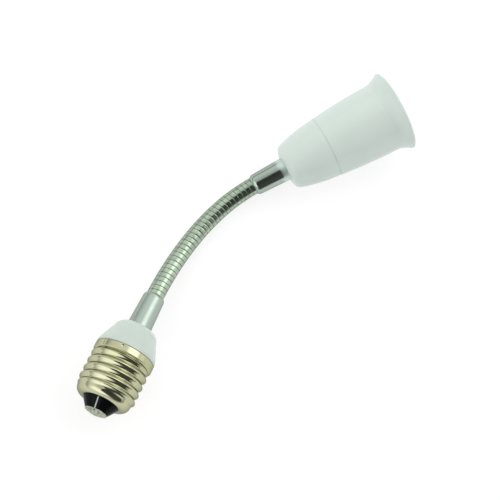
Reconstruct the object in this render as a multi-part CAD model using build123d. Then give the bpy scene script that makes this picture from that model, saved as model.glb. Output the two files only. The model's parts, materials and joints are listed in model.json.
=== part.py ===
"""Flexible lamp socket adapter: an E27 screw cap, a gooseneck that stays where it is bent, and an E27 socket.

Each turned piece is drawn as radius and height about its own Z axis. The cap's pieces have Z = 0 at the rim
of the screw shell, the socket's at the rear face of its cover, and each neck link's at its lower joint. They
are then set along the bent neck, and the whole adapter is laid down on the floor as it comes to rest.
"""
from build123d import *
from math import cos, hypot, radians, sin, tan
import os

# E27 screw cap
cap_pitch = 25.4 / 7
cap_crest_radius = 13.15
cap_root_radius = 12.1
cap_skirt_radius = 13.35
cap_skirt_height = 2.8
cap_skirt_slope = 0.6
cap_length = 23.2
cap_end_radius = 3.3
cap_sheet = 0.45
thread_turns = 3.8
thread_foot = 2.9
thread_top = 0.9
thread_sunk = 0.2
thread_angle = -43.0
stake_radius = 1.15
stake_depth = 0.35
stake_angle = 294.0
insulator_radius = 8.1
insulator_height = 4.1
insulator_seat = 0.5
insulator_neck = 2.2
contact_radius = 4.95
contact_rim = 0.3
contact_bulge = 1.25
contact_roundness = 0.18
contact_margin = 0.1
contact_stem_radius = 1.2
contact_notch_radius = 0.5
contact_notch_inset = 0.75
contact_notch_angle = 290.0
contact_stem_rise = 4.0

# Housing of the cap
dome_height = 13.0
dome_top_radius = 6.35
dome_shoulder_radius = 9.95
dome_shoulder_drop = 3.55
dome_corner_bulge = 0.85
dome_rim_radius = 13.3
dome_rim_height = 1.2
dome_side_bulge = 0.1
dome_wall = 3.0
dome_cone_height = 5.0
dome_cone_width = 2.2
spigot_gap = 9.4
spigot_wall = 2.0

# Ferrules, which screw through both housings and are locked by a nut
ferrule_radius = 5.4
ferrule_end_radius = 4.9
ferrule_length = 16.5
ferrule_corner = 0.7
ferrule_crimp = 2.0
ferrule_crimp_bulge = 0.22
ferrule_socket_depth = 13.5
stem_radius = 3.95
stem_length = 9.5
stem_bore = 2.6
nut_across_flats = 12.0
nut_height = 3.0

# Gooseneck: wound turns, carried by short links
neck_length = 70.2
neck_turns = 31
turn_crest_radius = 3.95
turn_root_radius = 3.2
turns_per_link = 2
root_turns = 2
link_count = 14
link_swing = 13.0
link_spare_angle = 0.5
link_tip_radius = 0.6
settling_steps = 60
bend = 43.4
bend_skew = 0.59
bend_ends = 0.29

# Socket
socket_length = 56.9
seam_height = 20.9
seam_radius = 14.2
seam_step = 0.12
seam_gap = 0.03
rear_face_radius = 7.4
rear_shoulder_radius = 11.1
rear_shoulder_height = 3.45
rear_corner_bulge = 0.8
cover_bulge = 0.5
cover_wall = 3.0
cover_side = 1.7
lap_length = 5.4
lap_radius = 12.3
lap_wall = 0.7
lap_end_gap = 0.6
body_waist_radius = 16.2
body_bulge = 0.35
flare_length = 7.0
flare_hollow = 0.4
mouth_radius = 18.9
mouth_inner_radius = 16.9
lip_radius = 0.8
throat_depth = 6.0
shelf_height = 23.5
socket_bore = 13.35
socket_sheet = 0.35
sleeve_gap = 0.15
rim_depth = 5.5
insert_thickness = 3.0
flange_radius = 8.2
shell_foot_radius = 11.6
leaf_width = 4.0
leaf_thickness = 0.4
leaf_rise = 3.0
leaf_gap = 0.6
leaf_clear = 0.5
leaf_foot_length = 2.2
leaf_crest_start = -0.6
leaf_crest_end = 1.6
leaf_tail_length = 1.6
leaf_tail_drop = 1.2
live_rivet_x = -6.0
neutral_rivet_x = 9.9
rivet_radius = 1.2
rivet_head_radius = 1.5
rivet_head_height = 0.8
rivet_button_height = 0.5

# Leads and fits
lead_radius = 0.8
lead_offset = 1.2
lead_bend = 1.5
lead_run = 4.0
lead_clear = 1.0
play = 0.05

turn_pitch = neck_length / neck_turns
link_length = turns_per_link * turn_pitch
end_turns = neck_turns - root_turns - turns_per_link * link_count
neck_start = dome_height + ferrule_length
neck_floor = neck_start - ferrule_socket_depth
swing_slope = tan(radians(link_swing / 2 + link_spare_angle))
quarter_bulge = 1 - cos(radians(45))


def turned(*lines):
    """A solid of revolution about Z from the lines of a closed half section of radius and height."""
    return revolve(Plane.XZ * make_face(lines), axis=Axis.Z)


def outline(*points):
    """A closed half section with straight sides."""
    return Polyline(*points, close=True)


def bow_middle(start, end, bulge):
    """The middle of an arc that stands off the straight line by a bulge, to the right of its way."""
    run, rise = end[0] - start[0], end[1] - start[1]
    share = bulge / hypot(run, rise)
    return (start[0] + end[0]) / 2 + rise * share, (start[1] + end[1]) / 2 - run * share


def bowed(start, end, bulge):
    """An arc between two points of a half section."""
    return ThreePointArc(start, bow_middle(start, end, bulge), end)


def lead(*points):
    """A round insulated lead through some points, with rounded corners."""
    route = FilletPolyline(*points, radius=lead_bend)
    return sweep(Plane(route @ 0, z_dir=route % 0) * Circle(lead_radius), path=route)


# The cap's pieces

skirt_foot = -cap_skirt_height - cap_skirt_slope
insulator_hole = insulator_radius - insulator_seat
insulator_top = -cap_length - play
insulator_foot = insulator_top - insulator_height
spigot_radius = cap_root_radius - cap_sheet - play
spigot_inside = spigot_radius - spigot_wall
spigot_foot = -cap_length + spigot_gap
stem_foot = dome_height - stem_length


def shell_blank(thinner):
    """The shell's outside as a solid, drawn in by a thickness."""
    root, skirt, foot = cap_root_radius - thinner, cap_skirt_radius - thinner, -cap_length + thinner
    corner = (cap_root_radius - cap_end_radius, foot)
    side = (root, -cap_length + cap_end_radius)
    return turned(
        Line((0, foot), corner),
        bowed(corner, side, (cap_end_radius - thinner) * quarter_bulge),
        Polyline(side, (root, skirt_foot), (skirt, -cap_skirt_height), (skirt, 0), (0, 0), (0, foot)),
    )


def screw_shell():
    """Rolled sheet cap: skirt, root cylinder, rounded end, and the thread wound round it."""
    start = skirt_foot - thread_foot / 2 - play - thread_turns * cap_pitch
    helix = Pos(0, 0, start) * Helix(cap_pitch, thread_turns * cap_pitch, cap_root_radius)
    depth = cap_crest_radius - cap_root_radius
    ridge = outline((-thread_sunk, -thread_foot / 2), (-thread_sunk, thread_foot / 2),
                    (depth, thread_top / 2), (depth, -thread_top / 2))
    at_start = Plane(helix @ 0, x_dir=(1, 0, 0), z_dir=helix % 0)
    thread = Rot(0, 0, thread_angle) * sweep(at_start * make_face(ridge), path=helix, is_frenet=True)
    hole = Pos(0, 0, -cap_length) * Cylinder(insulator_hole, 4 * cap_sheet)
    reach = cap_skirt_radius - stake_depth + stake_radius
    stake = Pos(reach, 0, -cap_skirt_height / 2) * Sphere(stake_radius)
    stakes = [Rot(0, 0, stake_angle + turn) * stake for turn in (0, 180)]
    return shell_blank(0) + thread - shell_blank(cap_sheet) - hole - stakes


def tip_insulator():
    """Black truncated cone below the shell, with a neck up through the shell's end."""
    neck = insulator_hole - play
    hole = contact_stem_radius + play
    neck_top = insulator_top + insulator_neck
    return turned(outline((hole, insulator_foot), (contact_radius + contact_margin, insulator_foot),
                          (insulator_radius, insulator_top), (neck, insulator_top), (neck, neck_top),
                          (hole, neck_top)))


def tip_contact():
    """Domed button with a small notch near its rim and a stem for the live lead."""
    rim_top = insulator_foot - play
    rim = rim_top - contact_rim
    stem_top = -cap_length + contact_stem_rise
    button = turned(
        bowed((0, rim - contact_bulge), (contact_radius, rim), contact_roundness),
        Polyline((contact_radius, rim), (contact_radius, rim_top), (contact_stem_radius, rim_top),
                 (contact_stem_radius, stem_top), (0, stem_top), (0, rim - contact_bulge)),
    )
    reach = contact_radius - contact_notch_inset
    notch = Pos(reach, 0, rim_top) * Cylinder(contact_notch_radius, 2 * contact_bulge)
    return button - Rot(0, 0, contact_notch_angle) * notch


def base_housing():
    """Moulded dome on the shell's rim, with a hollow spigot down inside the shell."""
    roof = dome_height - dome_wall
    hole = stem_radius + play
    rim = (dome_rim_radius, dome_rim_height)
    shoulder = (dome_shoulder_radius, dome_height - dome_shoulder_drop)
    top = (dome_top_radius, dome_height)
    return turned(
        Line((dome_rim_radius, play), rim),
        bowed(rim, shoulder, dome_side_bulge),
        bowed(shoulder, top, dome_corner_bulge),
        Polyline(top, (hole, dome_height), (hole, roof), (spigot_inside - dome_cone_width, roof),
                 (spigot_inside, roof - dome_cone_height), (spigot_inside, spigot_foot),
                 (spigot_radius, spigot_foot), (spigot_radius, play), (dome_rim_radius, play)),
    )


def ferrule():
    """Tapered steel sleeve for the neck's end, with a hollow threaded stem below, drawn from its foot up."""
    bore = turn_crest_radius + play
    floor = ferrule_length - ferrule_socket_depth
    side = (ferrule_end_radius, ferrule_length - ferrule_crimp)
    top = (ferrule_end_radius - ferrule_corner, ferrule_length)
    return turned(
        Polyline((stem_bore, -stem_length), (stem_radius, -stem_length), (stem_radius, play),
                 (ferrule_radius, play), side),
        bowed(side, top, ferrule_crimp_bulge),
        Polyline(top, (bore, ferrule_length), (bore, floor), (stem_bore, floor), (stem_bore, -stem_length)),
    )


def lock_nut(wall):
    """Hexagon nut on a ferrule's stem, drawn downward from the far face of the wall that it clamps."""
    hexagon = RegularPolygon(nut_across_flats / 2, 6, major_radius=False) - Circle(stem_radius + play)
    return Pos(0, 0, -wall - play - nut_height) * extrude(hexagon, nut_height)


def base_live_lead():
    """From the tip contact's stem up into the lower ferrule."""
    foot = -cap_length + contact_stem_rise + play
    return lead((0, 0, foot), (0, 0, foot + lead_run), (lead_offset, 0, stem_foot - lead_run),
                (lead_offset, 0, neck_floor - play))


def base_neutral_lead():
    """From the shell's inner wall, under the spigot's end and up into the lower ferrule."""
    wall = cap_root_radius - cap_sheet - lead_radius - play
    foot = -cap_length + cap_end_radius + lead_clear
    return lead((-wall, 0, foot), (-wall, 0, spigot_foot - lead_clear - 2 * lead_radius),
                (-spigot_inside / 2, 0, spigot_foot), (-lead_offset, 0, stem_foot - lead_run),
                (-lead_offset, 0, neck_floor - play))


# The gooseneck's pieces


def wound(turns, lower_tail, upper_tail):
    """A stretch of neck turns. An end with no tail is a blunt cone, so the next stretch can swing there."""
    length = turns * turn_pitch
    flank = (turn_crest_radius - turn_root_radius) / (turn_pitch / 2)
    cut = (play + swing_slope * turn_root_radius) / (1 - swing_slope * flank)
    mouth = (turn_root_radius + flank * cut, cut)
    tip = (link_tip_radius, play + swing_slope * link_tip_radius)
    ribs = []
    for turn in range(turns):
        ribs.append((turn_crest_radius, (turn + 0.5) * turn_pitch))
        ribs.append((turn_root_radius, (turn + 1) * turn_pitch))
    if lower_tail:
        low = [(0, -lower_tail), (turn_root_radius, -lower_tail), (turn_root_radius, 0)]
    else:
        low = [(0, tip[1]), tip, mouth]
    if upper_tail:
        high = [(turn_root_radius, length + upper_tail), (0, length + upper_tail)]
    else:
        high = [(mouth[0], length - mouth[1]), (tip[0], length - tip[1]), (0, length - tip[1])]
        ribs.pop()
    return turned(outline(*low, *ribs, *high))


def clamped(end, height):
    """The part of the neck that is crimped inside a ferrule, on the end of its turns."""
    return end + Pos(0, 0, height) * Cylinder(turn_crest_radius, ferrule_socket_depth - play)


# The socket's pieces

rear_shoulder = (rear_shoulder_radius, rear_shoulder_height)
cover_seam = (seam_radius, seam_height)
body_foot = seam_height + seam_gap
body_seam = (seam_radius + seam_step, body_foot)
waist = (body_waist_radius, socket_length - flare_length)
lip = (mouth_radius, socket_length - lip_radius)
socket_rim = socket_length - rim_depth
insert_top = shelf_height + play + insert_thickness
flange_foot = insert_top + play
bore_foot = flange_foot + leaf_rise + leaf_thickness + leaf_clear


def rear_cover():
    """Moulded cover behind the socket, hollow, with a hole for the upper ferrule."""
    hole = stem_radius + play
    inner = lap_radius + play
    face = (rear_face_radius, 0)
    return turned(
        Line((hole, 0), face),
        bowed(face, rear_shoulder, rear_corner_bulge),
        bowed(rear_shoulder, cover_seam, cover_bulge),
        Polyline(cover_seam, (inner, seam_height), (inner, seam_height - lap_length - lap_end_gap),
                 (rear_shoulder_radius - cover_side, cover_wall), (hole, cover_wall), (hole, 0)),
    )


def front_body():
    """Moulded sleeve with a trumpet mouth, lapped into the rear cover, with a shelf for the insert."""
    lap_foot = body_foot - lap_length
    lap_inside = lap_radius - lap_wall
    bore = socket_bore + socket_sheet + sleeve_gap
    rim = (mouth_radius - lip_radius, socket_length)
    return turned(
        Polyline((lap_radius, lap_foot), (lap_radius, body_foot), body_seam),
        bowed(body_seam, waist, body_bulge),
        bowed(waist, lip, -flare_hollow),
        bowed(lip, rim, lip_radius * quarter_bulge),
        Polyline(rim, (mouth_inner_radius, socket_length), (bore, socket_length - throat_depth),
                 (bore, shelf_height), (lap_inside, shelf_height), (lap_inside, lap_foot),
                 (lap_radius, lap_foot)),
    )


def socket_insert():
    """Insulating disc on the front body's shelf, with holes for the two rivets."""
    middle = insert_top - insert_thickness / 2
    disc = Pos(0, 0, middle) * Cylinder(socket_bore + socket_sheet, insert_thickness)
    hole = Cylinder(rivet_radius + play, 2 * insert_thickness)
    return disc - [Pos(x, 0, middle) * hole for x in (live_rivet_x, neutral_rivet_x)]


def socket_shell():
    """Sheet sleeve that a lamp cap screws into, coned in at its foot, with a flange riveted to the insert."""
    flange_top = flange_foot + socket_sheet
    outside = socket_bore + socket_sheet
    foot_outside = shell_foot_radius + socket_sheet
    cone_top = bore_foot - (hypot(1, 1) - 1) * socket_sheet
    cone_foot = cone_top - (outside - foot_outside)
    cone_inside = bore_foot - (socket_bore - shell_foot_radius)
    sleeve = turned(outline((flange_radius, flange_foot), (foot_outside, flange_foot),
                            (foot_outside, cone_foot), (outside, cone_top), (outside, socket_rim),
                            (socket_bore, socket_rim), (socket_bore, bore_foot),
                            (shell_foot_radius, cone_inside), (shell_foot_radius, flange_top),
                            (flange_radius, flange_top)))
    return sleeve - Pos(neutral_rivet_x, 0, flange_foot) * Cylinder(rivet_radius + play, 4 * socket_sheet)


def centre_contact():
    """Spring leaf that the lamp's tip presses on."""
    crest = flange_foot + leaf_rise
    tail = leaf_crest_end + leaf_tail_length
    side = Polyline((leaf_gap - flange_radius, flange_foot), (live_rivet_x + leaf_foot_length, flange_foot),
                    (leaf_crest_start, crest), (leaf_crest_end, crest), (tail, crest - leaf_tail_drop))
    strip = offset(side, leaf_thickness / 2, side=Side.BOTH)
    leaf = extrude(Plane.XZ * Pos(0, leaf_thickness / 2) * make_face(strip), leaf_width / 2, both=True)
    return leaf - Pos(live_rivet_x, 0, flange_foot) * Cylinder(rivet_radius + play, 4 * leaf_thickness)


def contact_rivets():
    """Two rivets through the insert, one for the leaf and one for the shell's flange."""
    back = shelf_height
    front = flange_foot + leaf_thickness + play
    rivet = turned(outline((0, back - rivet_head_height), (rivet_head_radius, back - rivet_head_height),
                           (rivet_head_radius, back), (rivet_radius, back), (rivet_radius, front),
                           (rivet_head_radius, front), (rivet_head_radius, front + rivet_button_height),
                           (0, front + rivet_button_height)))
    return Compound([Pos(x, 0, 0) * rivet for x in (live_rivet_x, neutral_rivet_x)])


def socket_lead(x_start, x_end):
    """From the upper ferrule to the back of a rivet."""
    foot = ferrule_socket_depth - ferrule_length + play
    top = shelf_height - rivet_head_height - play
    return lead((x_start, 0, foot), (x_start, 0, stem_length + lead_clear), (x_end, 0, top - lead_run),
                (x_end, 0, top))


# Places along the bent neck, in the plane of the bend


def heading(distance):
    """Direction of the neck in degrees: it bends more towards the socket, and more at its ends."""
    share = distance / neck_length
    lag = share - share * share
    return bend * (share - bend_skew * lag + bend_ends * lag * (1 - 2 * share))


def joint_distance(joint):
    return (root_turns + turns_per_link * joint) * turn_pitch


def link_heading(link):
    """Even joints bend in the plane, so two links share the direction at the odd joint between them."""
    last_bend = link - 1 if link % 2 else link - 2
    if last_bend < 0:
        return 0.0
    if last_bend == link_count:
        return bend
    return heading(joint_distance(last_bend + 1))


def place(x, y, angle):
    """Where a piece goes whose own Z points along the neck and whose X points to the inside of the bend."""
    along = (cos(radians(angle)), sin(radians(angle)), 0)
    across = (-sin(radians(angle)), cos(radians(angle)), 0)
    return Plane((x, y, 0), x_dir=across, z_dir=along).location


def neck_places():
    """The place of each joint, with the direction of the link that starts there."""
    x, y = neck_start + joint_distance(0), 0.0
    places = []
    for joint in range(link_count + 1):
        angle = link_heading(joint + 1)
        places.append((x, y, angle))
        x += link_length * cos(radians(angle))
        y += link_length * sin(radians(angle))
    return places


joints = neck_places()
head_gap = end_turns * turn_pitch + ferrule_length
base_place = place(0, 0, 0)
head_place = place(*joints[-1]) * Pos(0, 0, head_gap)


# How it lies on the floor


def lowest(circles, up):
    """The lowest point of some circles, each a place and a radius about its Z."""
    points = []
    for at, radius in circles:
        axis = Vector(Plane(at).z_dir)
        down = axis * axis.dot(up) - up
        points.append(at.position + down.normalized() * radius)
    return min(points, key=lambda point: point.dot(up))


def resting_up():
    """The floor's upward direction: it touches the cap's dome, the neck and the socket."""
    cap_rings = ((dome_rim_radius, dome_rim_height), (cap_skirt_radius, 0))
    head_rings = (rear_shoulder, bow_middle(rear_shoulder, cover_seam, cover_bulge), cover_seam, body_seam,
                  bow_middle(body_seam, waist, body_bulge), waist, lip)
    cap = [(base_place * Pos(0, 0, z), radius) for radius, z in cap_rings]
    neck = [(place(*at) * Pos(0, 0, turn_pitch / 2), turn_crest_radius) for at in joints]
    head = [(head_place * Pos(0, 0, z), radius) for radius, z in head_rings]
    up = Vector(0, 0.3, -1).normalized()
    for step in range(settling_steps):
        a, b, c = (lowest(group, up) for group in (cap, neck, head))
        normal = (b - a).cross(c - a).normalized()
        if normal.dot(up) < 0:
            normal = normal * -1
        up = (up + normal).normalized()
    return up


def lying():
    """From the plane of the bend to the floor: up is +Z, and the ends lie along X."""
    up = resting_up()
    span = (head_place * Pos(0, 0, socket_length)).position - (base_place * Pos(0, 0, -cap_length)).position
    level = span - up * span.dot(up)
    return Plane((0, 0, 0), x_dir=level, z_dir=up).location.inverse()


def pieces():
    """Every piece by name, in the plane of the bend."""
    on_dome = base_place * Pos(0, 0, dome_height)
    under_head = head_place * Rot(180, 0, 0)
    buried = ferrule_socket_depth - play
    made = {
        "screw_shell": base_place * screw_shell(),
        "tip_insulator": base_place * tip_insulator(),
        "tip_contact": base_place * tip_contact(),
        "base_housing": base_place * base_housing(),
        "lower_lock_nut": on_dome * lock_nut(dome_wall),
        "lower_ferrule": on_dome * ferrule(),
        "base_live_lead": base_place * base_live_lead(),
        "base_neutral_lead": base_place * base_neutral_lead(),
        "neck_root": base_place * Pos(0, 0, neck_start) * clamped(wound(root_turns, play, 0), -buried / 2),
    }
    for number, at in enumerate(joints[:-1], 1):
        made[f"neck_link_{number:02d}"] = place(*at) * wound(turns_per_link, 0, 0)
    end = clamped(wound(end_turns, 0, play), end_turns * turn_pitch + buried / 2)
    made["neck_end"] = place(*joints[-1]) * end
    made["upper_ferrule"] = under_head * ferrule()
    made["upper_lock_nut"] = under_head * lock_nut(cover_wall)
    made["rear_cover"] = head_place * rear_cover()
    made["front_body"] = head_place * front_body()
    made["socket_insert"] = head_place * socket_insert()
    made["socket_shell"] = head_place * socket_shell()
    made["centre_contact"] = head_place * centre_contact()
    made["contact_rivets"] = head_place * contact_rivets()
    made["socket_live_lead"] = head_place * socket_lead(-lead_offset, live_rivet_x)
    made["socket_neutral_lead"] = head_place * socket_lead(lead_offset, neutral_rivet_x)
    return made


def everything(shapes):
    """All solids of some shapes as one."""
    return Compound([solid for shape in shapes for solid in shape.solids()])


# The middle of the lowest face of the whole box is the origin
made = pieces()
floor_place = lying()
box = everything(floor_place * shape for shape in made.values()).bounding_box()
row_place = Pos(-box.center().X, -box.center().Y, -box.min.Z) * floor_place

os.makedirs("parts", exist_ok=True)
for name, shape in made.items():
    export_step(everything([row_place * shape]), f"parts/{name}.step")
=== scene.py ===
"""A flexible lamp socket adapter on a white floor: a screw cap, a gooseneck and a flared socket."""
import json
from math import cos, degrees, radians, sin, tau

import bpy
from mathutils import Matrix, Vector

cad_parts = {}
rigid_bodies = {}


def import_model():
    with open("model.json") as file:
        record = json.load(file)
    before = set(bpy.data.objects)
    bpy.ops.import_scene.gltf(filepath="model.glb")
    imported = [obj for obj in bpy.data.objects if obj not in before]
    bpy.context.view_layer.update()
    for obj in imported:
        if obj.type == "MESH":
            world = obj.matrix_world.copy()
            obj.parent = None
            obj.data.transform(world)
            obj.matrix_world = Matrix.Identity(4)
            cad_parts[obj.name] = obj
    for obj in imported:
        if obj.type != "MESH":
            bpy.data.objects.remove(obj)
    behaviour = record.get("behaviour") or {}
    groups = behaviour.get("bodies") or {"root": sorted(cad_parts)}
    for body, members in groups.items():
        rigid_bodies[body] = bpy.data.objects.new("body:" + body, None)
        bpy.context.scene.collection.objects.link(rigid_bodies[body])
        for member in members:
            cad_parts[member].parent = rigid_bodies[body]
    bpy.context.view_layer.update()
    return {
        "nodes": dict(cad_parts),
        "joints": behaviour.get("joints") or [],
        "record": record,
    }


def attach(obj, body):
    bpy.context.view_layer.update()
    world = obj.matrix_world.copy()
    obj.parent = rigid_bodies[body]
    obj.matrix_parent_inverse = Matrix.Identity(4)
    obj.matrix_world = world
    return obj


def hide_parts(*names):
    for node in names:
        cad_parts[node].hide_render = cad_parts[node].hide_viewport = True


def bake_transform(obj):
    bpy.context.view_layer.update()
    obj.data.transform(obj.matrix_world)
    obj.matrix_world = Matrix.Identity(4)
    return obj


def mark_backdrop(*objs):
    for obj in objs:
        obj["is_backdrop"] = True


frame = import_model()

mm = 0.001

# The screw cap's thread and end, in millimetres and degrees, with heights from the cap's rim
cap_pitch = 25.4 / 7
cap_crest_radius = 13.15
cap_root_radius = 12.1
cap_length = 23.2
cap_sheet = 0.45
cap_end_radius = 3.3
cap_end_inset = 2.0
cap_hole_radius = 7.6
cap_hole_edge = 0.05
thread_start = -18.69
thread_turn = -43.0
thread_low = -20.2
thread_high = -3.4
thread_run_in = 2.0
thread_run_out = 1.2
thread_fullness = 0.85

# The cap's skirt, the stakes that hold it on the dome and the crease in its sheet
cap_skirt_radius = 13.35
cap_skirt_height = 3.2
skirt_rim = 0.4
skirt_corner = 0.3
skirt_corner_turn = 60.0
skirt_foot = 0.6
stake_turns = (294.0, 114.0)
stake_radius = 0.75
stake_depth = 0.3
stake_drop = 1.2
crease_turn = 256.0
crease_width = 0.5
crease_depth = 0.12

# The socket's sheet sleeve, with heights from the socket's rear face
bore_rim = 51.4
bore_sheet = 0.35
bore_thread_depth = 0.95
bore_run_in = 2.0
bore_run_out = 2.2
sleeve_foot_radius = 11.6
flange_height = 26.6
flange_radius = 8.2

# The gooseneck: its turns, how many of them are in its root and in each link, and the length in each ferrule
neck_length = 70.2
neck_turns = 31
root_turns = 2
turns_per_link = 2
neck_buried = 2.0
turn_crest_radius = 3.95
turn_groove_radius = 3.79
rib_fullness = 4.2

# Points round the meshes and steps along them, and the angles past which an edge stays crisp
cap_around = 360
cap_thread_steps = 110
rim_steps = 6
skirt_steps = 12
corner_steps = 4
end_steps = 12
bore_around = 144
bore_steps = 140
neck_around = 72
neck_steps_per_turn = 40
sheet_crisp_angle = 50
neck_crisp_angle = 60

# Marks in the materials, each pair from where a mark starts to change to where it stops: painted shade in
# the gooseneck's grooves by the share of a groove's depth, the others in millimetres and degrees
groove_attribute = "groove"
groove_shade_depth = (0.06, 0.4)
# A painted highlight: a pale line down the insulator where a lamp would glint on its cone
highlight_turn = 290.0
highlight_width = (0.12, 0.36)
highlight_start = (3.0, 4.0)
# Painted shade: a darker line along the seam between the socket's mouldings
seam_height = 20.9
seam_shade_width = (0.06, 0.25)
# A painted reflection of the white socket on the upper ferrule's end, which also turns rougher there
soft_end_span = (1.5, 4.5)
soft_end_roughness = 0.5

# Noise in the materials: the gloss's features per metre, levels of detail, and the values at its two tones
gloss_scale = 400.0
mottle_detail = 4.0
grain_detail = 2.0
noise_ends = (0.3, 0.7)

# The camera, with places in metres, for a square picture
camera_place = Vector((-0.11675, -0.03625, 0.43792))
camera_aim = Vector((-0.0009, -0.00393, 0.01468))
camera_up = Vector((0.6767, 0.69659, 0.23841))
camera_lens = 72.0
camera_sensor = 36.0
camera_clip = 0.01

# The floor: half its side in metres, its tone as it lights the object, and its tone and glow as it is seen
floor_reach = 3.0
floor_tone = 0.9
floor_seen_tone = 0.3
floor_glow = 0.78

# The room's light: its strength at the floor, at half height and overhead, and the sines of height between
# which it changes
room_low = 0.48
room_middle = 1.03
room_top = 0.65
room_rise = (0.0, 0.5)
room_fall = (0.6, 0.95)

# Soft boxes in the room: direction in degrees round and up, where each starts to fade and where it ends
soft_boxes = (
    dict(around=336, up=51, inner=3, outer=28, strength=1.2),
    dict(around=20, up=55, inner=10, outer=45, strength=0.4),
    dict(around=170, up=31, inner=5, outer=45, strength=0.7),
    dict(around=314, up=4, inner=5, outer=26, strength=0.5),
)

# The dark strip where the photographer stands: its middle, the direction across it, and its edges in degrees
strip_middle = (249, 53)
strip_side = (349, 9)
strip_width = (24, 41)
strip_length = (40, 50)
strip_shade = 0.91

# A wide fill lamp on the right: direction in degrees, distance and side in metres, and power in watts
fill_way = (285, 30)
fill_distance = 0.9
fill_size = 0.6
fill_power = 0.7


# Places in the frame


def from_axes(x, y, z, origin):
    """A matrix whose columns are three directions and a place."""
    return Matrix([[x[i], y[i], z[i], origin[i]] for i in range(3)] + [[0, 0, 0, 1]])


joints = {joint["name"]: joint for joint in frame["joints"]}
mounts = {mount["name"]: mount for mount in frame["record"]["mounts"]}
normal = Vector(joints["neck_bend_1"]["axis"])

cap_along = -Vector(mounts["screw_cap"]["axis"])
cap_origin = Vector(mounts["screw_cap"]["pos_m"]) + cap_along * cap_length / 2 * mm
cap_across = normal.cross(cap_along)
cap_frame = from_axes(cap_across, normal, cap_along, cap_origin)

bore_radius = mounts["lamp_socket"]["dims"]["r_mm"]
bore_length = mounts["lamp_socket"]["dims"]["length_mm"]
bore_foot = bore_rim - bore_length
socket_along = Vector(mounts["lamp_socket"]["axis"])
socket_origin = Vector(mounts["lamp_socket"]["pos_m"]) - socket_along * (bore_rim - bore_length / 2) * mm
socket_frame = from_axes(normal.cross(socket_along), normal, socket_along, socket_origin)
seam_place = socket_origin + socket_along * seam_height * mm


# Mesh helpers


def mesh_object(name, points, faces, smooth=True):
    data = bpy.data.meshes.new(name)
    data.from_pydata(points, [], faces)
    data.update()
    data.polygons.foreach_set("use_smooth", [smooth] * len(data.polygons))
    piece = bpy.data.objects.new(name, data)
    bpy.context.scene.collection.objects.link(piece)
    return piece


def grid_faces(rows, columns, closed):
    """Quads of a grid of points, closed round each row and, if asked, from the last row to the first."""
    faces = []
    for row in range(rows if closed else rows - 1):
        after = (row + 1) % rows
        for column in range(columns):
            beside = (column + 1) % columns
            faces.append((row * columns + column, row * columns + beside,
                          after * columns + beside, after * columns + column))
    return faces


def sharpen(piece, angle):
    """Smooth shading with edges sharper than an angle left crisp."""
    with bpy.context.temp_override(object=piece, active_object=piece, selected_editable_objects=[piece]):
        bpy.ops.object.shade_smooth_by_angle(angle=radians(angle))


def smoothstep(value, low, high):
    share = min(1.0, max(0.0, (value - low) / (high - low)))
    return share * share * (3 - 2 * share)


def arc(radius, height, size, first, last, steps):
    """Points on an arc about a centre, between two angles in degrees down from straight out."""
    turns = [radians(first + (last - first) * step / steps) for step in range(steps + 1)]
    return [(radius + size * cos(turn), height - size * sin(turn)) for turn in turns]


def wall(radius, top, foot, steps):
    """Points down a straight wall."""
    return [(radius, top + (foot - top) * step / steps) for step in range(steps + 1)]


def level(angle, z):
    """The relief of a plain stretch."""
    return 0.0


def turned(name, stretches, around, place):
    """A closed sheet turned about a frame's Z, from stretches of radius and height, each with its relief."""
    points = []
    rows = 0
    for outline, relief in stretches:
        rows += len(outline)
        for radius, z in outline:
            for column in range(around):
                angle = tau * column / around
                out = radius + relief(angle, z)
                points.append((out * cos(angle) * mm, out * sin(angle) * mm, z * mm))
    piece = mesh_object(name, points, grid_faces(rows, around, True))
    piece.data.transform(place)
    sharpen(piece, sheet_crisp_angle)
    return piece


# The cap's rolled sheet


def cap_thread(angle, z):
    """How far the rolled thread stands out from its root, fading out at both ends."""
    phase = (z - thread_start) / cap_pitch - (degrees(angle) - thread_turn) / 360
    wave = 0.5 + 0.5 * cos(tau * phase)
    start = smoothstep(z, thread_low, thread_low + thread_run_in)
    stop = 1 - smoothstep(z, thread_high - thread_run_out, thread_high)
    return (cap_crest_radius - cap_root_radius) * wave ** thread_fullness * start * stop


def round_skirt(angle, turn):
    """How far round the skirt a point lies from a mark, in millimetres."""
    return radians((degrees(angle) - turn + 180) % 360 - 180) * cap_skirt_radius


def skirt_dents(angle, z):
    """The skirt's relief: dented by round stakes and by the sheet's crease."""
    dent = crease_depth * max(0.0, 1 - abs(round_skirt(angle, crease_turn)) / crease_width)
    for turn in stake_turns:
        near = (round_skirt(angle, turn) ** 2 + (z + stake_drop) ** 2) / stake_radius ** 2
        dent += stake_depth * max(0.0, 1 - near)
    return -dent


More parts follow.
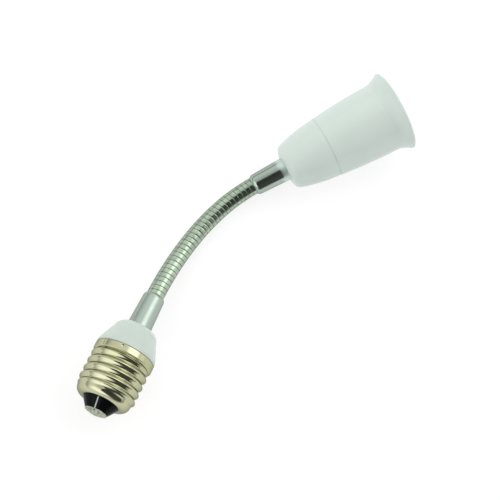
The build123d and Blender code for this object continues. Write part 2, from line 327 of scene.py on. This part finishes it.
def screw_shell():
    """The sheet cap with its rolled thread, its staked dimples and the crease in its skirt."""
    skirt_low = skirt_corner - cap_skirt_height
    thread_top = -cap_skirt_height - skirt_foot
    end_top = cap_end_radius - cap_length
    end_inside = cap_sheet - cap_length
    inner_radius = cap_root_radius - cap_sheet
    inner_skirt_radius = cap_skirt_radius - cap_sheet
    rim = arc(cap_skirt_radius - skirt_rim, -skirt_rim, skirt_rim, -90, 0, rim_steps)
    corner = arc(cap_skirt_radius - skirt_corner, skirt_low, skirt_corner, 0, skirt_corner_turn,
                 corner_steps)
    end = arc(cap_root_radius - cap_end_radius, end_top, cap_end_radius, 0, 90, end_steps)
    hole = [(cap_hole_radius + cap_hole_edge, -cap_length), (cap_hole_radius, cap_hole_edge - cap_length),
            (cap_hole_radius, end_inside)]
    inside = [(inner_radius - cap_end_inset, end_inside), (inner_radius, end_top),
              (inner_radius, thread_top), (inner_skirt_radius, -cap_skirt_height), (inner_skirt_radius, 0.0)]
    stretches = [
        (rim[:-1], level),
        (wall(cap_skirt_radius, -skirt_rim, skirt_low, skirt_steps), skirt_dents),
        (corner[1:], level),
        (wall(cap_root_radius, thread_top, end_top, cap_thread_steps), cap_thread),
        (end[1:] + hole + inside, level),
    ]
    piece = turned("screw_shell_rolled", stretches, cap_around, cap_frame)
    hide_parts("screw_shell")
    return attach(piece, "cap")


# The socket's rolled sheet


def bore_thread(angle, z):
    """How far the rolled thread stands into the bore, fading out at both ends."""
    wave = 0.5 + 0.5 * cos(tau * (z / cap_pitch - angle / tau))
    start = smoothstep(z, bore_foot, bore_foot + bore_run_in)
    stop = 1 - smoothstep(z, bore_rim - bore_run_out, bore_rim)
    return -bore_thread_depth * wave * start * stop


def socket_shell():
    """The socket's sheet sleeve, coned in at its foot, with a rolled thread inside for the lamp."""
    outer_radius = bore_radius + bore_sheet
    outer_foot_radius = sleeve_foot_radius + bore_sheet
    cone_foot = bore_foot - (bore_radius - sleeve_foot_radius)
    # The cone leans 45 degrees, so its outer corners lie lower for an even sheet
    cone_drop = bore_sheet * (2 ** 0.5 - 1)
    flange_top = flange_height + bore_sheet
    outside = [(flange_radius, flange_height), (outer_foot_radius, flange_height),
               (outer_foot_radius, cone_foot - cone_drop), (outer_radius, bore_foot - cone_drop),
               (outer_radius, bore_rim)]
    foot = [(sleeve_foot_radius, cone_foot), (sleeve_foot_radius, flange_top), (flange_radius, flange_top)]
    stretches = [
        (outside, level),
        (wall(bore_radius, bore_rim, bore_foot, bore_steps), bore_thread),
        (foot, level),
    ]
    piece = turned("socket_shell_rolled", stretches, bore_around, socket_frame)
    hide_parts("socket_shell")
    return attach(piece, "socket")


# The gooseneck


turn_pitch = neck_length / neck_turns
half_link = turns_per_link / 2 * turn_pitch


def joints_in_order():
    """The neck's joints one after another, from the cap to the socket."""
    by_parent = {joint["parent"]: joint for joint in frame["joints"]}
    order = []
    body = "cap"
    while body in by_parent:
        order.append(by_parent[body])
        body = by_parent[body]["child"]
    return order


chain = joints_in_order()


def joint_distance(number):
    """How far along the neck a joint lies, by its number in the chain."""
    return turn_pitch * (root_turns + turns_per_link * number)


last_distance = joint_distance(len(chain) - 1)


def neck_stations():
    """Distance, place and direction where the neck runs straight: its start, each sway joint and its end."""
    start = Vector(chain[0]["pos_m"]) - cap_along * joint_distance(0) * mm
    made = [(0.0, start, cap_along)]
    for number, joint in enumerate(chain):
        if "sway" in joint["name"]:
            way = Vector(joint["axis"]).cross(normal)
            made.append((joint_distance(number), Vector(joint["pos_m"]), way))
    stop = Vector(chain[-1]["pos_m"]) + socket_along * (neck_length - last_distance) * mm
    return made + [(neck_length, stop, socket_along)]


stations = neck_stations()


def straight_on(station, distance):
    """Place and direction on the straight line through a station."""
    at, place, way = station
    return place + way * (distance - at) * mm, way


def neck_point(distance):
    """Place and direction of the neck's middle line, a smooth curve through the stations."""
    if distance <= stations[0][0]:
        return straight_on(stations[0], distance)
    if distance >= stations[-1][0]:
        return straight_on(stations[-1], distance)
    for (low, start, leave), (high, stop, arrive) in zip(stations, stations[1:]):
        if distance <= high:
            break
    t = (distance - low) / (high - low)
    span = (high - low) * mm
    place = (start * (2 * t ** 3 - 3 * t ** 2 + 1) + leave * span * (t ** 3 - 2 * t ** 2 + t)
             + stop * (3 * t ** 2 - 2 * t ** 3) + arrive * span * (t ** 3 - t ** 2))
    way = (start * (6 * t ** 2 - 6 * t) + leave * span * (3 * t ** 2 - 4 * t + 1)
           + stop * (6 * t - 6 * t ** 2) + arrive * span * (3 * t ** 2 - 2 * t))
    return place, way.normalized()


def wound_piece(name, low, high):
    """A stretch of the neck: flat-topped turns on a helix about its middle line, with closed ends."""
    rows = round((high - low) / turn_pitch * neck_steps_per_turn) + 1
    points = []
    depths = []
    for row in range(rows):
        distance = low + (high - low) * row / (rows - 1)
        place, along = neck_point(distance)
        across = normal.cross(along)
        for column in range(neck_around):
            angle = tau * column / neck_around
            phase = (distance / turn_pitch - angle / tau) % 1.0
            bulge = max(0.0, 1 - abs(2 * phase - 1) ** rib_fullness) ** (1 / rib_fullness)
            radius = turn_groove_radius + (turn_crest_radius - turn_groove_radius) * bulge
            points.append(place + (across * cos(angle) + normal * sin(angle)) * radius * mm)
            depths.append(1 - bulge)
    faces = grid_faces(rows, neck_around, False)
    faces.append(tuple(reversed(range(neck_around))))
    faces.append(tuple(range((rows - 1) * neck_around, rows * neck_around)))
    piece = mesh_object(name, points, faces)
    piece.data.attributes.new(groove_attribute, "FLOAT", "POINT").data.foreach_set("value", depths)
    sharpen(piece, neck_crisp_angle)
    return piece


def gooseneck():
    """A piece across each joint, from one link's middle to the next one's, and a piece at each end."""
    root = wound_piece("gooseneck_root", -neck_buried, joint_distance(0) - half_link)
    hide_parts("neck_root")
    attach(root, "cap")
    made = [root]
    for number, joint in enumerate(chain):
        low = joint_distance(number) - half_link
        high = joint_distance(number) + half_link
        piece = wound_piece(f"gooseneck_{number + 1:02d}", low, high)
        if number < len(chain) - 1:
            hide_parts(f"neck_link_{number + 1:02d}")
        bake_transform(piece)
        made.append(piece)
    end = wound_piece("gooseneck_end", last_distance + half_link, neck_length + neck_buried)
    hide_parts("neck_end")
    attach(end, "socket")
    return made + [end]


# Nodes of the materials and of the room


def grey(value):
    return (value, value, value, 1)


def node_of(tree, kind, **inputs):
    """A node with some of its inputs set, by name with underscores for spaces."""
    made = tree.nodes.new(kind)
    for name, value in inputs.items():
        made.inputs[name.replace("_", " ")].default_value = value
    return made


def between(tree, source, low, high, first, last):
    """A value that goes smoothly from one number to another as its source does."""
    node = node_of(tree, "ShaderNodeMapRange", From_Min=low, From_Max=high, To_Min=first, To_Max=last)
    node.interpolation_type = "SMOOTHSTEP"
    tree.links.new(source, node.inputs["Value"])
    return node.outputs["Result"]


def combined(tree, operation, *sources):
    """One value from one or two others, by the name of a maths operation."""
    node = tree.nodes.new("ShaderNodeMath")
    node.operation = operation
    for source, socket in zip(sources, node.inputs):
        tree.links.new(source, socket)
    return node.outputs[0]


def vector_with(tree, operation, source, fixed):
    """The node that combines a vector with a fixed one, by the name of a maths operation."""
    node = tree.nodes.new("ShaderNodeVectorMath")
    node.operation = operation
    node.inputs[1].default_value = fixed
    tree.links.new(source, node.inputs[0])
    return node


def toward(tree, way, aim):
    """How far a vector reaches along a direction, which between two directions is the cosine."""
    return vector_with(tree, "DOT_PRODUCT", way, aim).outputs["Value"]


def on_object(tree):
    """The place of a point on its object, in metres."""
    return tree.nodes.new("ShaderNodeTexCoord").outputs["Object"]


def offset(tree, origin, aim):
    """How far a point lies from a place along a direction, in millimetres."""
    moved = vector_with(tree, "SUBTRACT", on_object(tree), origin)
    return toward(tree, moved.outputs["Vector"], aim / mm)


def noise(tree, scale, detail):
    """A noise in object space, in features per metre."""
    texture = node_of(tree, "ShaderNodeTexNoise", Scale=scale, Detail=detail)
    tree.links.new(on_object(tree), texture.inputs["Vector"])
    return texture.outputs["Fac"]


def mottled(tree, scale, first, last):
    """A noise that goes from one colour to another."""
    node = tree.nodes.new("ShaderNodeValToRGB")
    for element, position, colour in zip(node.color_ramp.elements, noise_ends, (first, last)):
        element.position = position
        element.color = colour
    tree.links.new(noise(tree, scale, mottle_detail), node.inputs["Fac"])
    return node.outputs["Color"]


def mixed(tree, share, tone, colour):
    """A tone that turns to a colour where a share is high."""
    mix = tree.nodes.new("ShaderNodeMix")
    mix.data_type = "RGBA"
    mix.inputs["B"].default_value = (*colour, 1)
    tree.links.new(share, mix.inputs["Factor"])
    tree.links.new(tone, mix.inputs["A"])
    return mix.outputs["Result"]


def bump(tree, shader, source, depth):
    node = node_of(tree, "ShaderNodeBump", Strength=1.0, Distance=depth)
    tree.links.new(source, node.inputs["Height"])
    tree.links.new(node.outputs["Normal"], shader.inputs["Normal"])


# Marks: each is a share, 1 on the mark and 0 away from it


def shade_in_grooves(tree):
    """Down in the gooseneck's grooves, where shade is painted in a dark colour."""
    depth = tree.nodes.new("ShaderNodeAttribute")
    depth.attribute_name = groove_attribute
    return between(tree, depth.outputs["Fac"], *groove_shade_depth, 0.0, 1.0)


def on_painted_highlight(tree):
    """On a thin line down one side of the cap's insulator, where a highlight is painted."""
    turn = radians(highlight_turn)
    aside = offset(tree, cap_origin, normal * cos(turn) - cap_across * sin(turn))
    line = between(tree, combined(tree, "ABSOLUTE", aside), *highlight_width, 1.0, 0.0)
    out = offset(tree, cap_origin, cap_across * cos(turn) + normal * sin(turn))
    return combined(tree, "MULTIPLY", line, between(tree, out, *highlight_start, 0.0, 1.0))


def on_seam_shade(tree):
    """On a thin line where the socket's two mouldings meet, where shade in the seam is painted."""
    aside = combined(tree, "ABSOLUTE", offset(tree, seam_place, socket_along))
    return between(tree, aside, *seam_shade_width, 1.0, 0.0)


def socket_reflection_and_haze(tree):
    """On the upper ferrule where it meets the socket: a pale colour painted there as a reflection of the
    socket, and a rougher gloss.
    """
    return between(tree, offset(tree, socket_origin, -socket_along), *soft_end_span, 1.0, 0.0)


# Materials


def material(name):
    made = bpy.data.materials.new(name)
    made.use_nodes = True
    return made, made.node_tree, made.node_tree.nodes["Principled BSDF"]


def finish(name, colours, roughness, grain, metallic=0.0, tone_scale=60.0, coat=0.0, shine=0.5, edge=1.0,
           mark=None, haze=None):
    """A material with a mottled tone, an uneven gloss and a fine grain.

    The grain is its features per metre and its depth in metres. A mark is a share and the colour that it
    turns the tone to, and a haze is a share and the roughness that it brings.
    """
    made, tree, shader = material(name)
    shader.inputs["Specular IOR Level"].default_value = shine
    shader.inputs["Specular Tint"].default_value = grey(edge)
    shader.inputs["Metallic"].default_value = metallic
    shader.inputs["Coat Weight"].default_value = coat
    tone = mottled(tree, tone_scale, *((*colour, 1) for colour in colours))
    if mark:
        share, colour = mark
        tone = mixed(tree, share(tree), tone, colour)
    tree.links.new(tone, shader.inputs["Base Color"])
    gloss = mottled(tree, gloss_scale, *(grey(value) for value in roughness))
    if haze:
        share, most = haze
        gloss = combined(tree, "MAXIMUM", gloss, between(tree, share(tree), 0.0, 1.0, 0.0, most))
    tree.links.new(gloss, shader.inputs["Roughness"])
    scale, depth = grain
    bump(tree, shader, noise(tree, scale, grain_detail), depth)
    return made


# The white plastic has painted shade in a darker colour along the seam.
white_plastic = finish("white_plastic", ((0.71, 0.815, 0.75), (0.735, 0.84, 0.775)), (0.3, 0.38),
                       grain=(1800.0, 4e-6), coat=0.15, mark=(on_seam_shade, (0.645, 0.74, 0.68)))
# The dome's plastic is a darker copy of the head's white plastic, as painted shade.
dome_plastic = finish("dome_plastic", ((0.625, 0.72, 0.655), (0.65, 0.745, 0.685)), (0.3, 0.38),
                      grain=(1800.0, 4e-6), coat=0.15)
insert_plastic = finish("insert_plastic", ((0.72, 0.7, 0.62), (0.78, 0.76, 0.7)), (0.5, 0.6),
                        grain=(1500.0, 1e-5))
# The black glass has a painted highlight in a pale colour down one side.
black_glass = finish("black_glass", ((0.002, 0.003, 0.003), (0.004, 0.005, 0.005)), (0.04, 0.07),
                     grain=(700.0, 4e-6), shine=0.06, mark=(on_painted_highlight, (0.6, 0.64, 0.62)))
shell_nickel = finish("shell_nickel", ((0.475, 0.485, 0.305), (0.54, 0.545, 0.37)), (0.06, 0.12),
                      grain=(1200.0, 3e-6), metallic=1.0, edge=0.45)
contact_nickel = finish("contact_nickel", ((0.48, 0.5, 0.42), (0.57, 0.59, 0.5)), (0.2, 0.28),
                        grain=(1500.0, 1.5e-6), metallic=1.0)
tip_solder = finish("tip_solder", ((0.2, 0.23, 0.16), (0.52, 0.55, 0.43)), (0.3, 0.5),
                    grain=(500.0, 1.2e-4), metallic=1.0, tone_scale=900.0)
satin_steel = finish("satin_steel", ((0.37, 0.445, 0.385), (0.41, 0.485, 0.425)), (0.25, 0.32),
                     grain=(2000.0, 6e-7), metallic=1.0, edge=0.6)
# The upper ferrule's end is painted pale as a reflection of the white socket, and made rougher.
bright_steel = finish("bright_steel", ((0.37, 0.445, 0.385), (0.41, 0.485, 0.425)), (0.13, 0.18),
                      grain=(2000.0, 1e-6), metallic=1.0, edge=0.6, mark=(socket_reflection_and_haze, (0.7, 0.83, 0.77)),
                      haze=(socket_reflection_and_haze, soft_end_roughness))
# The gooseneck's grooves are painted a dark colour as shade.
neck_steel = finish("neck_steel", ((0.32, 0.4, 0.305), (0.47, 0.57, 0.445)), (0.13, 0.24),
                    grain=(3000.0, 2e-6), metallic=1.0, tone_scale=450.0, edge=0.5,
                    mark=(shade_in_grooves, (0.1, 0.12, 0.095)))
nut_steel = finish("nut_steel", ((0.55, 0.55, 0.53), (0.66, 0.66, 0.62)), (0.25, 0.4),
                   grain=(1500.0, 5e-6), metallic=1.0)
spring_brass = finish("spring_brass", ((0.72, 0.52, 0.22), (0.8, 0.62, 0.32)), (0.2, 0.32),
                      grain=(1500.0, 4e-6), metallic=1.0)
brown_lead = finish("brown_lead", ((0.2, 0.08, 0.03), (0.26, 0.11, 0.04)), (0.4, 0.5), grain=(1500.0, 5e-6))
blue_lead = finish("blue_lead", ((0.02, 0.06, 0.28), (0.03, 0.09, 0.36)), (0.4, 0.5), grain=(1500.0, 5e-6))

looks = {
    "base_housing": dome_plastic,
    "rear_cover": white_plastic,
    "front_body": white_plastic,
    "socket_insert": insert_plastic,
    "tip_insulator": black_glass,
    "tip_contact": tip_solder,
    "lower_ferrule": satin_steel,
    "upper_ferrule": bright_steel,
    "lower_lock_nut": nut_steel,
    "upper_lock_nut": nut_steel,
    "centre_contact": spring_brass,
    "contact_rivets": spring_brass,
    "base_live_lead": brown_lead,
    "socket_live_lead": brown_lead,
    "base_neutral_lead": blue_lead,
    "socket_neutral_lead": blue_lead,
}


def dress(piece, look):
    piece.data.materials.clear()
    piece.data.materials.append(look)


for name, look in looks.items():
    dress(frame["nodes"][name], look)
dress(screw_shell(), shell_nickel)
dress(socket_shell(), contact_nickel)
for piece in gooseneck():
    dress(piece, neck_steel)


# Studio


def floor():
    """A wide floor that looks white to the camera and in the metal, and keeps the object's shadow."""
    low, high = -floor_reach, floor_reach
    piece = mesh_object("floor", [(low, low, 0), (high, low, 0), (high, high, 0), (low, high, 0)],
                        [(0, 1, 2, 3)], smooth=False)
    made, tree, shader = material("floor_white")
    tree.nodes.remove(shader)
    plain = node_of(tree, "ShaderNodeBsdfDiffuse", Color=grey(floor_tone))
    shaded = node_of(tree, "ShaderNodeBsdfDiffuse", Color=grey(floor_seen_tone))
    glow = node_of(tree, "ShaderNodeEmission", Strength=floor_glow)
    seen = tree.nodes.new("ShaderNodeAddShader")
    tree.links.new(shaded.outputs[0], seen.inputs[0])
    tree.links.new(glow.outputs[0], seen.inputs[1])
    path = tree.nodes.new("ShaderNodeLightPath")
    share = path.outputs["Is Camera Ray"]
    for ray in ("Is Glossy Ray", "Is Transmission Ray"):
        share = combined(tree, "MAXIMUM", share, path.outputs[ray])
    mix = tree.nodes.new("ShaderNodeMixShader")
    tree.links.new(share, mix.inputs[0])
    tree.links.new(plain.outputs[0], mix.inputs[1])
    tree.links.new(seen.outputs[0], mix.inputs[2])
    tree.links.new(mix.outputs[0], tree.nodes["Material Output"].inputs["Surface"])
    dress(piece, made)
    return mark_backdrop(piece)


def direction(around, up):
    """A direction from degrees round from +X and degrees up from the floor."""
    around, up = radians(around), radians(up)
    return Vector((cos(up) * cos(around), cos(up) * sin(around), sin(up)))


def soft_box(tree, way, box):
    """The light that a soft box adds in a direction."""
    near = toward(tree, way, direction(box["around"], box["up"]))
    return between(tree, near, cos(radians(box["outer"])), cos(radians(box["inner"])), 0.0, box["strength"])


def dark_strip(tree, way):
    """The share of light left in the room: little in the strip, all of it elsewhere."""
    aside = combined(tree, "ABSOLUTE", toward(tree, way, direction(*strip_side)))
    inner, outer = (sin(radians(edge)) for edge in strip_width)
    across = between(tree, aside, inner, outer, 1.0, 0.0)
    inner, outer = (cos(radians(edge)) for edge in strip_length)
    along = between(tree, toward(tree, way, direction(*strip_middle)), outer, inner, 0.0, 1.0)
    return between(tree, combined(tree, "MULTIPLY", across, along), 0.0, 1.0, 1.0, 1.0 - strip_shade)


def world():
    """A grey room, dimmer toward the floor and overhead, with soft boxes and a dark strip."""
    made = bpy.data.worlds.new("studio")
    made.use_nodes = True
    tree = made.node_tree
    way = tree.nodes.new("ShaderNodeTexCoord").outputs["Generated"]
    height = tree.nodes.new("ShaderNodeSeparateXYZ")
    tree.links.new(way, height.inputs[0])
    rise = between(tree, height.outputs["Z"], *room_rise, room_low, room_middle)
    fall = between(tree, height.outputs["Z"], *room_fall, 1.0, room_top / room_middle)
    light = combined(tree, "MULTIPLY", rise, fall)
    for box in soft_boxes:
        light = combined(tree, "ADD", light, soft_box(tree, way, box))
    light = combined(tree, "MULTIPLY", light, dark_strip(tree, way))
    tree.links.new(light, tree.nodes["Background"].inputs["Strength"])
    tree.nodes["Background"].inputs["Color"].default_value = grey(1.0)
    bpy.context.scene.world = made


def fill_lamp():
    """A soft lamp that lifts the shaded side of the pale plastic and isn't mirrored in the metal."""
    data = bpy.data.lights.new("fill_lamp", "AREA")
    data.size = fill_size
    data.energy = fill_power
    made = bpy.data.objects.new("fill_lamp", data)
    bpy.context.scene.collection.objects.link(made)
    made.location = direction(*fill_way) * fill_distance
    made.rotation_euler = (-made.location).to_track_quat("-Z", "Y").to_euler()
    made.visible_glossy = False


def camera():
    data = bpy.data.cameras.new("camera")
    data.sensor_width = camera_sensor
    data.lens = camera_lens
    data.clip_start = camera_clip
    made = bpy.data.objects.new("camera", data)
    bpy.context.scene.collection.objects.link(made)
    back = (camera_place - camera_aim).normalized()
    right = camera_up.cross(back).normalized()
    made.matrix_world = from_axes(right, back.cross(right), back, camera_place)
    bpy.context.scene.camera = made


floor()
world()
fill_lamp()
camera()
bpy.context.scene.view_settings.view_transform = "Standard"
